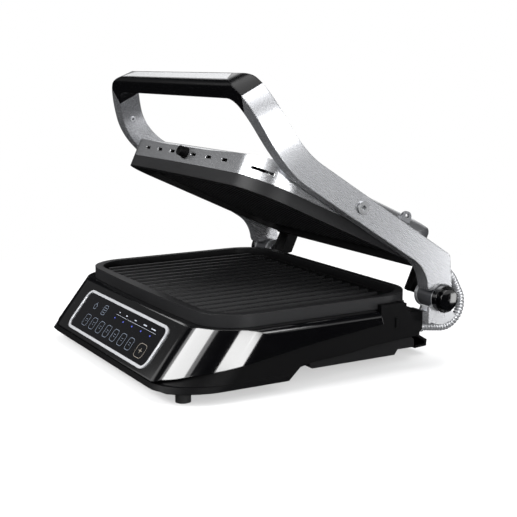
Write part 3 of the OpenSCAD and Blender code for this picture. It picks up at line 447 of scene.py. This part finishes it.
@dataclass
class Builder:
    """Collects vertices and faces for one piece, in millimetres.

    Attributes:
        name: The piece's name.
        mesh: The mesh under construction.
    """

    name: str
    mesh: bmesh.types.BMesh = field(default_factory=bmesh.new)

    def prism(self, outline: Iterable[Sequence[float]], height: float, place: Matrix) -> None:
        """Adds a closed prism.

        Args:
            outline: The outline's corners in the local XY plane, in millimetres.
            height: Its height along the local Z, in millimetres.
            place: The local frame, in millimetres.
        """
        points = [tuple(p) for p in outline]
        low = [self.mesh.verts.new(place @ Vector((x, y, 0))) for x, y in points]
        high = [self.mesh.verts.new(place @ Vector((x, y, height))) for x, y in points]
        self.mesh.faces.new(list(reversed(low)))
        self.mesh.faces.new(high)
        count = len(points)
        for i in range(count):
            j = (i + 1) % count
            self.mesh.faces.new((low[i], low[j], high[j], high[i]))

    def ring(self, outer: Sequence[Sequence[float]], inner: Sequence[Sequence[float]],
             height: float, place: Matrix) -> None:
        """Adds a flat closed ring between two outlines with as many corners each.

        Args:
            outer: The outer outline, in millimetres.
            inner: The inner outline, in millimetres.
            height: The ring's height along the local Z, in millimetres.
            place: The local frame, in millimetres.
        """
        levels = [
            [[self.mesh.verts.new(place @ Vector((x, y, z))) for x, y in line] for z in (0, height)]
            for line in (outer, inner)
        ]
        (out_low, out_high), (in_low, in_high) = levels
        count = len(out_low)
        for i in range(count):
            j = (i + 1) % count
            self.mesh.faces.new((out_low[i], out_low[j], out_high[j], out_high[i]))
            self.mesh.faces.new((in_low[j], in_low[i], in_high[i], in_high[j]))
            self.mesh.faces.new((out_high[i], out_high[j], in_high[j], in_high[i]))
            self.mesh.faces.new((out_low[j], out_low[i], in_low[i], in_low[j]))

    def finish(self, smooth: float = 35.0) -> bpy.types.Object:
        """Makes the object.

        Args:
            smooth: Edges flatter than this angle look smooth, in degrees.

        Returns:
            The new object, at the origin, in metres.
        """
        bmesh.ops.recalc_face_normals(self.mesh, faces=self.mesh.faces[:])
        bmesh.ops.scale(self.mesh, vec=(MM, MM, MM), verts=self.mesh.verts[:])
        data = bpy.data.meshes.new(self.name)
        self.mesh.to_mesh(data)
        self.mesh.free()
        data.shade_smooth()
        data.set_sharp_from_angle(angle=math.radians(smooth))
        obj = bpy.data.objects.new(self.name, data)
        bpy.context.scene.collection.objects.link(obj)
        return obj


def rounded(width: float, height: float, radius: float, centre: Sequence[float],
            steps: int = 5, straight: float = 0.01) -> list[tuple[float, float]]:
    """Gives a rectangle with round corners.

    Args:
        width: Its width.
        height: Its height.
        radius: The corner radius.
        centre: Its middle.
        steps: Segments in each corner.
        straight: The least straight stretch on each half of a side.

    Returns:
        The outline's points, anticlockwise.
    """
    radius = min(radius, width / 2 - straight, height / 2 - straight)
    points = []
    for k, (sx, sy) in enumerate(((1, 1), (-1, 1), (-1, -1), (1, -1))):
        for i in range(steps + 1):
            a = math.radians(90 * (k + i / steps))
            x = sx * (width / 2 - radius) + radius * math.cos(a)
            y = sy * (height / 2 - radius) + radius * math.sin(a)
            points.append((centre[0] + x, centre[1] + y))
    return points


# ---------------------------------------------------------------------------
# Drawing and repeating
# ---------------------------------------------------------------------------


@dataclass
class PanelMarks:
    """Draws plain signs on the touch panel's glass.

    Attributes:
        place: The glass's own frame, in millimetres.
        depth: How far the signs stand on the glass, in millimetres.
        stroke: The width of an outline, in millimetres.
        least_radius: The smallest radius inside a corner, in millimetres.
        layers: The builders in use, one for each colour of sign.
    """

    place: Matrix
    depth: float = 0.06
    stroke: float = 0.42
    least_radius: float = 0.2
    layers: dict[str, Builder] = field(default_factory=dict)

    def layer(self, name: str) -> Builder:
        """Gives the builder for one colour of sign, made at its first use.

        Args:
            name: The layer's name.

        Returns:
            The layer's builder.
        """
        if name not in self.layers:
            self.layers[name] = Builder(name)
        return self.layers[name]

    def outline(self, layer: str, width: float, height: float, radius: float,
                centre: Sequence[float]) -> None:
        """Draws the outline of a key.

        Args:
            layer: The layer to draw on.
            width: The key's width.
            height: Its height.
            radius: Its corner radius.
            centre: Its middle.
        """
        line = self.stroke
        inner_radius = max(radius - line, self.least_radius)
        outer = rounded(width, height, radius, centre)
        inner = rounded(width - 2 * line, height - 2 * line, inner_radius, centre)
        self.layer(layer).ring(outer, inner, self.depth, self.place)

    def bar(self, layer: str, width: float, height: float, centre: Sequence[float]) -> None:
        """Draws a filled bar or dot on a layer, with round ends."""
        points = rounded(width, height, min(width, height) / 2, centre, steps=3)
        self.layer(layer).prism(points, self.depth, self.place)

    def take(self, name: str) -> bpy.types.Object:
        """Ends a layer and gives its piece."""
        return self.layers.pop(name).finish()


class Row:
    """Repeats an item along a line with geometry nodes."""

    def __init__(self) -> None:
        """Builds the node group once."""
        tree = bpy.data.node_groups.new("row_of_items", "GeometryNodeTree")
        face = tree.interface
        face.new_socket("Geometry", in_out="INPUT", socket_type="NodeSocketGeometry")
        self.sockets = {
            name: face.new_socket(name, in_out="INPUT", socket_type=kind).identifier
            for name, kind in (("Item", "NodeSocketObject"), ("Count", "NodeSocketInt"),
                               ("Step", "NodeSocketVector"), ("Material", "NodeSocketMaterial"))
        }
        face.new_socket("Geometry", in_out="OUTPUT", socket_type="NodeSocketGeometry")
        graph = Graph(tree)
        given = graph.add("NodeGroupInput")
        line = graph.add("GeometryNodeMeshLine",
                         {"Count": (given, "Count"), "Offset": (given, "Step")}, mode="OFFSET")
        item = graph.add("GeometryNodeObjectInfo", {"Object": (given, "Item")})
        copies = graph.add("GeometryNodeInstanceOnPoints",
                           {"Points": (line, "Mesh"), "Instance": (item, "Geometry")})
        real = graph.add("GeometryNodeRealizeInstances", {"Geometry": (copies, "Instances")})
        painted = graph.add("GeometryNodeSetMaterial",
                            {"Geometry": (real, "Geometry"), "Material": (given, "Material")})
        graph.add("NodeGroupOutput", {"Geometry": (painted, "Geometry")})
        self.group = tree

    def repeat(self, item: bpy.types.Object, count: int, step: Vector,
               material: bpy.types.Material) -> bpy.types.Object:
        """Makes one piece of many copies.

        Args:
            item: The item, placed as the first copy. It is used up.
            count: How many copies the row has.
            step: From one copy to the next, in metres.
            material: The row's material.

        Returns:
            The row, at the origin.
        """
        carrier = bpy.data.objects.new("row_carrier", bpy.data.meshes.new("row_carrier"))
        bpy.context.scene.collection.objects.link(carrier)
        modifier = carrier.modifiers.new("row", "NODES")
        modifier.node_group = self.group
        modifier[self.sockets["Item"]] = item
        modifier[self.sockets["Count"]] = count
        modifier[self.sockets["Step"]] = tuple(step)
        modifier[self.sockets["Material"]] = material
        seen = carrier.evaluated_get(bpy.context.evaluated_depsgraph_get())
        data = bpy.data.meshes.new_from_object(seen)
        name = data.name = item.name
        carrier.modifiers.clear()
        bpy.data.objects.remove(carrier)
        bpy.data.objects.remove(item)
        row = bpy.data.objects.new(name, data)
        bpy.context.scene.collection.objects.link(row)
        return row


# ---------------------------------------------------------------------------
# Sub-assemblies
# ---------------------------------------------------------------------------


class Dresser:
    """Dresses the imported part."""

    def __init__(self) -> None:
        """Starts with the frame's nodes."""
        self.finisher = Finisher()
        self.nodes: dict[str, bpy.types.Object] = frame["nodes"]

    def add(self, obj: bpy.types.Object, finish: Finish, body: str, slot: str) -> None:
        """Finishes a new piece and lets it ride on a body.

        Args:
            obj: The piece.
            finish: Its finish.
            body: The CAD body that it moves with.
            slot: Not used.
        """
        self.finisher.put(obj, finish)
        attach(obj, body)
        LOG.info("added: %s", obj.name)

    def paint_nodes(self) -> None:
        """Gives every CAD node its finish."""
        for name, obj in self.nodes.items():
            self.finisher.put(obj, NODE_FINISH[name])
            LOG.info("painted: %s", name)


@dataclass(frozen=True)
class Run:
    """One stretch of the conduit's route.

    Attributes:
        length: Its length, in millimetres.
        turn: How far it turns upwards, in degrees.
    """

    length: float
    turn: float = 0.0


def bend(radius: float, turn: float) -> Run:
    """Gives a stretch that bends round a radius.

    Args:
        radius: The bend's radius, in millimetres.
        turn: How far it turns upwards, in degrees.

    Returns:
        The stretch.
    """
    return Run(math.radians(turn) * radius, turn)


@dataclass(frozen=True)
class Conduit:
    """A spiral-wound metal conduit that bends between the base and the right arm.

    Attributes:
        x: The vertical plane that it lies in, in millimetres.
        start: The depth and height of its lower end, in millimetres.
        slope: Its direction there, in degrees over the horizontal.
        runs: Its route: level to the rear, round a bend and up to the arm.
        groove: The radius at the bottom of the winding's grooves, in millimetres.
        ridge: How far its ridges stand over them, in millimetres.
        roundness: The power that shapes a ridge. Below 1 it is broad.
        pitch: From one ridge to the next, in millimetres.
        sides: Corners all round.
        step: From one ring of corners to the next, in millimetres.
        path_step: From one point of a second walk along the conduit to the next, in millimetres.
    """

    x: float = 150.0
    start: tuple[float, float] = (100.761, 40.642)
    slope: float = -7.5
    runs: tuple[Run, ...] = (Run(34.1), bend(22, 125.5), Run(11.7), bend(40, 17), Run(22))
    groove: float = 3.1
    ridge: float = 1.35
    roundness: float = 0.6
    pitch: float = 3.3
    sides: int = 28
    step: float = 0.33
    path_step: float = 3.0

    def route(self, step: float) -> list[tuple[Vector, Vector, float]]:
        """Walks along the conduit.

        Args:
            step: The distance between two points, in millimetres.

        Returns:
            Each point, its direction and its distance from the start, in millimetres.
        """
        points = []
        y, z, heading, travelled = *self.start, math.radians(self.slope), 0.0
        for run in self.runs:
            count = max(1, round(run.length / step))
            part = run.length / count
            half_turn = math.radians(run.turn) / count / 2
            for _ in range(count):
                points.append((Vector((self.x, y, z)),
                               Vector((0, math.cos(heading), math.sin(heading))), travelled))
                heading += half_turn
                y += part * math.cos(heading)
                z += part * math.sin(heading)
                heading += half_turn
                travelled += part
        points.append((Vector((self.x, y, z)), Vector((0, math.cos(heading), math.sin(heading))),
                       travelled))
        return points

    def build(self) -> bpy.types.Object:
        """Builds the spiral tube.

        Returns:
            The conduit, which replaces its plain CAD solid.
        """
        builder = Builder("conduit_spiral")
        across = Vector((1, 0, 0))
        rings = []
        for point, heading, travelled in self.route(self.step):
            up = heading.cross(across)
            ring = []
            for k in range(self.sides):
                a = math.tau * k / self.sides
                phase = (travelled / self.pitch - k / self.sides) % 1.0
                r = self.groove + self.ridge * math.sin(math.pi * phase) ** self.roundness
                ring.append(builder.mesh.verts.new(point + across * r * math.cos(a)
                                                   + up * r * math.sin(a)))
            rings.append(ring)
        for a, b in zip(rings, rings[1:]):
            for k in range(self.sides):
                m = (k + 1) % self.sides
                builder.mesh.faces.new((a[k], a[m], b[m], b[k]))
        builder.mesh.faces.new(list(reversed(rings[0])))
        builder.mesh.faces.new(rings[-1])
        return builder.finish(smooth=60)

    def dress(self, dresser: Dresser) -> None:
        """Swaps the plain conduit for its spiral winding.

        Args:
            dresser: What dresses the part.
        """
        piece = self.build()
        dresser.finisher.put(piece, BRIGHT)
        walk = self.route(self.path_step)
        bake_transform(piece)
        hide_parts("conduit")
        LOG.info("replaced: conduit, by %s", piece.name)


@dataclass(frozen=True)
class TouchPanel:
    """The keys, lights and icons on the touch panel's glass.

    Places are the middles of the signs, from the middle of the panel, to the right and up the
    face. Sizes are widths and heights. All are in millimetres.

    Attributes:
        foot: The front face's lower edge, depth and height.
        slope: The face's slope, in degrees.
        middle: The panel's middle, up the face from its foot.
        lift: The glass's surface over the face.
        key_size: A key's width, height and corner radius.
        key_at: The first key's place.
        key_step: From one key to the next.
        key_count: How many keys there are.
        key_bars: The size of each bar in a key, and how high it lies in the panel.
        light_size: A light's size.
        light_at: The first light's place.
        light_step: From one light to the next.
        light_count: How many lights there are.
        confirm_size: The confirm key's width, height and corner radius.
        confirm_at: Its place.
        confirm_bars: The sizes of the two bars of its cross.
        timer_size: The width, height and corner radius of the small icon at the left.
        timer_at: Its place.
        timer_bar: The size of the bar over it, and how high it lies in the panel.
        list_size: The width, height and corner radius of the icon with three lines.
        list_at: Its place.
        list_bar: The size of each of its lines.
        list_lines: How high they lie in the panel.
        scale_marks: The place along the scale and the width of each mark over the lights.
        scale_height: How tall these marks are.
        scale_up: How high they lie in the panel.
        line_size: The size of the thin line between marks and lights.
        line_at: Its place.
    """

    foot: tuple[float, float] = (-162.765, 16.9)
    slope: float = 51.1
    middle: float = 27.94
    lift: float = 0.4
    key_size: tuple[float, float, float] = (11.5, 13.0, 3.2)
    key_at: tuple[float, float] = (-65.6, -7.8)
    key_step: float = 18.7
    key_count: int = 7
    key_bars: tuple[tuple[float, float, float], ...] = ((4.0, 0.4, -6.6), (2.8, 0.4, -8.9))
    light_size: tuple[float, float] = (2.4, 1.4)
    light_at: tuple[float, float] = (-12.0, 7.5)
    light_step: float = 21.1
    light_count: int = 5
    confirm_size: tuple[float, float, float] = (17.5, 14.5, 4.6)
    confirm_at: tuple[float, float] = (72.5, -8.4)
    confirm_bars: tuple[tuple[float, float], ...] = ((6.4, 0.8), (0.8, 5.0))
    timer_size: tuple[float, float, float] = (6.4, 5.6, 1.6)
    timer_at: tuple[float, float] = (-65.5, 8.6)
    timer_bar: tuple[float, float, float] = (0.6, 2.6, 12.4)
    list_size: tuple[float, float, float] = (9.0, 11.0, 2.6)
    list_at: tuple[float, float] = (-41.5, 9.4)
    list_bar: tuple[float, float] = (4.6, 0.5)
    list_lines: tuple[float, ...] = (6.8, 9.4, 12.0)
    scale_marks: tuple[tuple[float, float], ...] = ((-8.2, 2.2), (8.8, 3.4), (30.2, 4.6),
                                                    (52.6, 7.5), (71.5, 9.5))
    scale_height: float = 1.0
    scale_up: float = 14.4
    line_size: tuple[float, float] = (94.0, 0.25)
    line_at: tuple[float, float] = (33.0, 11.4)

    def frame(self) -> Matrix:
        """Gives the glass's own frame, with its origin in the panel's middle.

        Returns:
            The matrix from the panel to the part, in millimetres.
        """
        turn = Matrix.Rotation(math.radians(self.slope), 4, "X")
        shift = Matrix.Translation((0, self.foot[0], self.foot[1]))
        return shift @ turn @ Matrix.Translation((0, self.middle, self.lift))

    def keys(self, marks: PanelMarks) -> None:
        """Draws the first key, an outline with two short bars.

        Args:
            marks: What draws the signs.
        """
        marks.outline("panel_keys", *self.key_size, self.key_at)
        for width, height, up in self.key_bars:
            marks.bar("panel_keys", width, height, (self.key_at[0], up))

    def confirm(self, marks: PanelMarks) -> None:
        """Draws the larger confirm key, an outline with a cross.

        Args:
            marks: What draws the signs.
        """
        marks.outline("panel_confirm", *self.confirm_size, self.confirm_at)
        for width, height in self.confirm_bars:
            marks.bar("panel_confirm", width, height, self.confirm_at)

    def icons(self, marks: PanelMarks) -> None:
        """Draws the two plain icons at the upper left.

        Args:
            marks: What draws the signs.
        """
        width, height, up = self.timer_bar
        marks.outline("panel_icons", *self.timer_size, self.timer_at)
        marks.bar("panel_icons", width, height, (self.timer_at[0], up))
        marks.outline("panel_icons", *self.list_size, self.list_at)
        for line in self.list_lines:
            marks.bar("panel_icons", *self.list_bar, (self.list_at[0], line))

    def scale(self, marks: PanelMarks) -> None:
        """Draws the marks over the lights, and the thin line under them.

        Args:
            marks: What draws the signs.
        """
        for x, width in self.scale_marks:
            marks.bar("panel_marks", width, self.scale_height, (x, self.scale_up))
        marks.bar("panel_marks", *self.line_size, self.line_at)

    def dress(self, dresser: Dresser) -> None:
        """Adds the panel's keys, lights, icons and marks.

        Args:
            dresser: What dresses the part.
        """
        marks = PanelMarks(self.frame())
        row = Row()
        self.keys(marks)
        keys = row.repeat(marks.take("panel_keys"), self.key_count, mm(self.key_step, 0, 0),
                          dresser.finisher.material(KEY))
        dresser.add(keys, KEY, "base", "panel_glass")
        marks.bar("panel_lights", *self.light_size, self.light_at)
        lights = row.repeat(marks.take("panel_lights"), self.light_count,
                            mm(self.light_step, 0, 0), dresser.finisher.material(GLOW))
        dresser.add(lights, GLOW, "base", "panel_glass")
        self.confirm(marks)
        dresser.add(marks.take("panel_confirm"), WARM, "base", "panel_glass")
        self.icons(marks)
        dresser.add(marks.take("panel_icons"), KEY, "base", "panel_glass")
        self.scale(marks)
        dresser.add(marks.take("panel_marks"), MARK, "base", "panel_glass")


@dataclass(frozen=True)
class GripScrews:
    """The two small screws inside the loop, just under the grip.

    Attributes:
        seat: The middle of the right one's seat, in millimetres.
        facing: The way that it faces.
        head_radius: The head's radius, in millimetres.
        head_height: How far the head stands out, in millimetres.
        socket_radius: The radius of the socket in it, in millimetres.
        socket_height: How high the socket's bottom lies, in millimetres.
        corners: Corners all round.
    """

    seat: tuple[float, float, float] = (150.7, -57.3, 230.8)
    facing: tuple[float, float, float] = (-0.942, 0.126, -0.31)
    head_radius: float = 3.0
    head_height: float = 0.8
    socket_radius: float = 1.6
    socket_height: float = 0.2
    corners: int = 32

    def rim(self, radius: float) -> list[tuple[float, float]]:
        """Gives the corners of a circle, anticlockwise, for its radius in millimetres."""
        turns = [math.tau * i / self.corners for i in range(self.corners)]
        return [(math.cos(a) * radius, math.sin(a) * radius) for a in turns]

    def place(self, side: int) -> Matrix:
        """Gives a screw's own frame.

        Args:
            side: 1 for the right one and -1 for the left one.

        Returns:
            The matrix from the screw to the part, in millimetres.
        """
        seat = Vector((side * self.seat[0], *self.seat[1:]))
        facing = Vector((side * self.facing[0], *self.facing[1:]))
        return Matrix.Translation(seat) @ facing.to_track_quat("Z", "Y").to_matrix().to_4x4()

    def dress(self, dresser: Dresser) -> None:
        """Adds the screw heads, and dark discs at the bottoms of their sockets as painted shade.

        Args:
            dresser: What dresses the part.
        """
        heads, sockets = Builder("grip_screws"), Builder("grip_screw_sockets")
        head, socket = self.rim(self.head_radius), self.rim(self.socket_radius)
        for side in (-1, 1):
            heads.ring(head, socket, self.head_height, self.place(side))
            sockets.prism(socket, self.socket_height, self.place(side))
        dresser.add(heads.finish(), CHROME, "arms", "steel_screw")
        # The socket bottoms are painted dark, standing in for the shade inside the sockets.
        dresser.add(sockets.finish(), DARK, "arms", "steel_screw")


# ---------------------------------------------------------------------------
# Camera, light and stage
# ---------------------------------------------------------------------------


@dataclass(frozen=True)
class Shot:
    """The camera.

    Attributes:
        azimuth: Its direction round the object, in degrees.
        elevation: Its height angle, in degrees.
        roll: Its roll, in degrees.
        sensor: The sensor's width, in millimetres.
        lens: Its focal length, in millimetres.
        centre: Its place, in millimetres.
        reach: The farthest distance that it sees, in metres.
    """

    azimuth: float = 60.384
    elevation: float = 10.354
    roll: float = -0.207
    sensor: float = 36.0
    lens: float = 75.39
    centre: tuple[float, float, float] = (961.99, -531.305, 293.5)
    reach: float = 20.0

    def add(self) -> None:
        """Adds the camera and makes it the scene's own."""
        az, el = math.radians(self.azimuth), math.radians(self.elevation)
        back = Vector((math.sin(az) * math.cos(el), -math.cos(az) * math.cos(el), math.sin(el)))
        right = Vector((math.cos(az), math.sin(az), 0))
        up = back.cross(right)
        turn = Matrix((right, up, back)).transposed().to_4x4()
        data = bpy.data.cameras.new("camera")
        data.lens = self.lens
        data.sensor_width = self.sensor
        data.sensor_fit = "HORIZONTAL"
        data.clip_end = self.reach
        camera = bpy.data.objects.new("camera", data)
        roll = Matrix.Rotation(math.radians(self.roll), 4, "Z")
        camera.matrix_world = Matrix.Translation(mm(*self.centre)) @ turn @ roll
        bpy.context.scene.collection.objects.link(camera)
        bpy.context.scene.camera = camera


@dataclass(frozen=True)
class Lamp:
    """A soft rectangular light.

    Attributes:
        name: Its name.
        place: Where it stands, in metres.
        target: The point it looks at, in metres.
        size: Its width and height, in metres.
        power: Its power in watts.
        roll: How far it turns about its own beam, in degrees.
    """

    name: str
    place: tuple[float, float, float]
    target: tuple[float, float, float]
    size: tuple[float, float]
    power: float
    roll: float = 0.0

    def add(self) -> None:
        """Adds the light to the scene."""
        data = bpy.data.lights.new(self.name, "AREA")
        data.shape = "RECTANGLE"
        data.size, data.size_y = self.size
        data.energy = self.power
        lamp = bpy.data.objects.new(self.name, data)
        direction = Vector(self.place) - Vector(self.target)
        facing = direction.to_track_quat("Z", "Y").to_matrix()
        turn = Matrix.Rotation(math.radians(self.roll), 3, "Z")
        lamp.rotation_euler = (facing @ turn).to_euler()
        lamp.location = self.place
        bpy.context.scene.collection.objects.link(lamp)


LAMPS = (
    Lamp("top_softbox", (0.1, 0.1, 1.5), (0, 0, 0.1), (1.3, 1.1), 16),
    Lamp("front_strip", (0.0, -1.05, 0.87), (0.12, -0.13, 0.05), (0.95, 0.4), 12),
    Lamp("front_halo", (0.0, -1.2, 1.0), (0.12, -0.13, 0.05), (1.6, 0.5), 6),
    Lamp("side_strip", (1.46, -0.12, 0.2), (0.12, -0.1, 0.08), (1.05, 0.13), 5, roll=-39),
    Lamp("side_halo", (1.56, -0.12, 0.2), (0.12, -0.1, 0.08), (1.15, 0.24), 2, roll=-39),
    Lamp("right_softbox", (1.35, 0.4, 0.92), (0.15, -0.05, 0.2), (0.7, 0.8), 11),
    Lamp("grip_softbox", (1.4, 0.22, 0.3), (0.16, -0.09, 0.22), (0.4, 0.4), 1.5),
    Lamp("corner_softbox", (0.78, -1.1, 0.58), (0.15, -0.1, 0.15), (0.34, 0.24), 2.2),
    Lamp("front_glow", (-1.1, -0.5, 0.5), (0, -0.12, 0.05), (0.6, 0.5), 0.1),
    Lamp("rear_softbox", (1.21, 1.04, 0.26), (0.17, 0.1, 0.12), (0.9, 0.5), 1.1),
    Lamp("foot_softbox", (0.96, 1.02, -0.13), (0.16, 0.12, 0.07), (0.3, 0.28), 1.5),
    Lamp("back_softbox", (-0.6, 1.3, 0.4), (0.1, 0.1, 0.15), (0.6, 0.6), 1.5),
    Lamp("left_softbox", (-1.2, 0.5, 0.9), (0, 0, 0.2), (0.8, 0.6), 2.4),
    Lamp("left_front_softbox", (-1.04, -0.85, 0.42), (0, -0.05, 0.2), (0.4, 0.4), 0.4),
)


@dataclass(frozen=True)
class Surround:
    """What the world shows to each kind of ray, as an sRGB colour and a strength.

    Attributes:
        seen: White, behind the object.
        mirrored: A dark room, in reflections, so that black gloss stays black.
        lit: Soft light from all round.
    """

    seen: tuple[str, float] = ("#ffffff", 1.0)
    mirrored: tuple[str, float] = ("#dfe2e8", 0.02)
    lit: tuple[str, float] = ("#f2f4f8", 0.5)

    def add(self) -> None:
        """Makes the world and gives it to the scene."""
        world = bpy.data.worlds.new("studio")
        bpy.context.scene.world = world
        world.use_nodes = True
        graph = Graph(world.node_tree)
        seen, mirrored, lit = (
            graph.add("ShaderNodeBackground", in_Color=srgb(colour), in_Strength=strength)
            for colour, strength in (self.seen, self.mirrored, self.lit)
        )
        ray = graph.add("ShaderNodeLightPath")
        unseen = graph.add("ShaderNodeMixShader",
                           {"Fac": (ray, "Is Glossy Ray"), 1: (lit, "Background"),
                            2: (mirrored, "Background")})
        every = graph.add("ShaderNodeMixShader",
                          {"Fac": (ray, "Is Camera Ray"), 1: (unseen, "Shader"),
                           2: (seen, "Background")})
        graph.add("ShaderNodeOutputWorld", {"Surface": (every, "Shader")})


@dataclass(frozen=True)
class Floor:
    """A pale floor that takes the object's shadow and doesn't show in reflections.

    Attributes:
        radius: Its radius, in metres.
        corners: Corners all round.
        drop: How far it lies below the feet, in metres.
        colour: Its sRGB colour.
        roughness: Its roughness.
        clear: How see-through it is near the object and at its edge.
        fade: The distances between which it goes from the one to the other, in metres.
    """

    radius: float = 1.2
    corners: int = 96
    drop: float = 0.0004
    colour: str = "#fbfbfb"
    roughness: float = 0.9
    clear: tuple[float, float] = (0.5, 1.0)
    fade: tuple[float, float] = (0.42, 0.62)

    def add(self) -> None:
        """Adds the floor to the scene."""
        mesh = bmesh.new()
        bmesh.ops.create_circle(mesh, cap_ends=True, radius=self.radius, segments=self.corners)
        data = bpy.data.meshes.new("floor")
        mesh.to_mesh(data)
        mesh.free()
        data.materials.append(self.material())
        floor = bpy.data.objects.new("floor", data)
        floor.location.z = -self.drop
        floor.visible_glossy = False
        bpy.context.scene.collection.objects.link(floor)

    def material(self) -> bpy.types.Material:
        """Makes the floor's material.

        Returns:
            A pale matt paint that turns see-through with the distance.
        """
        material, graph = new_material("matt_white_paint")
        coords = graph.add("ShaderNodeTexCoord")
        reach = graph.add("ShaderNodeVectorMath", {0: (coords, "Object")}, operation="LENGTH")
        share = graph.add("ShaderNodeMapRange", {"Value": (reach, "Value")},
                          in_From_Min=self.fade[0], in_From_Max=self.fade[1],
                          in_To_Min=self.clear[0], in_To_Max=self.clear[1])
        paint = graph.add("ShaderNodeBsdfPrincipled", in_Base_Color=srgb(self.colour),
                          in_Roughness=self.roughness, in_Specular_IOR_Level=0.0)
        gap = graph.add("ShaderNodeBsdfTransparent")
        mix = graph.add("ShaderNodeMixShader",
                        {0: (share, "Result"), 1: (paint, "BSDF"), 2: (gap, "BSDF")})
        graph.add("ShaderNodeOutputMaterial", {"Surface": (mix, "Shader")})
        return material


# ---------------------------------------------------------------------------
# The whole
# ---------------------------------------------------------------------------


def main() -> None:
    """Builds the scene."""
    logging.basicConfig(level=logging.INFO)
    bpy.context.scene.view_settings.view_transform = "Standard"
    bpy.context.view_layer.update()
    Shot().add()
    dresser = Dresser()
    dresser.paint_nodes()
    parts: tuple[Conduit | TouchPanel | GripScrews, ...] = (Conduit(), TouchPanel(), GripScrews())
    for part in parts:
        part.dress(dresser)
    Surround().add()
    Floor().add()
    for lamp in LAMPS:
        lamp.add()


if __name__ == "__main__":
    main()
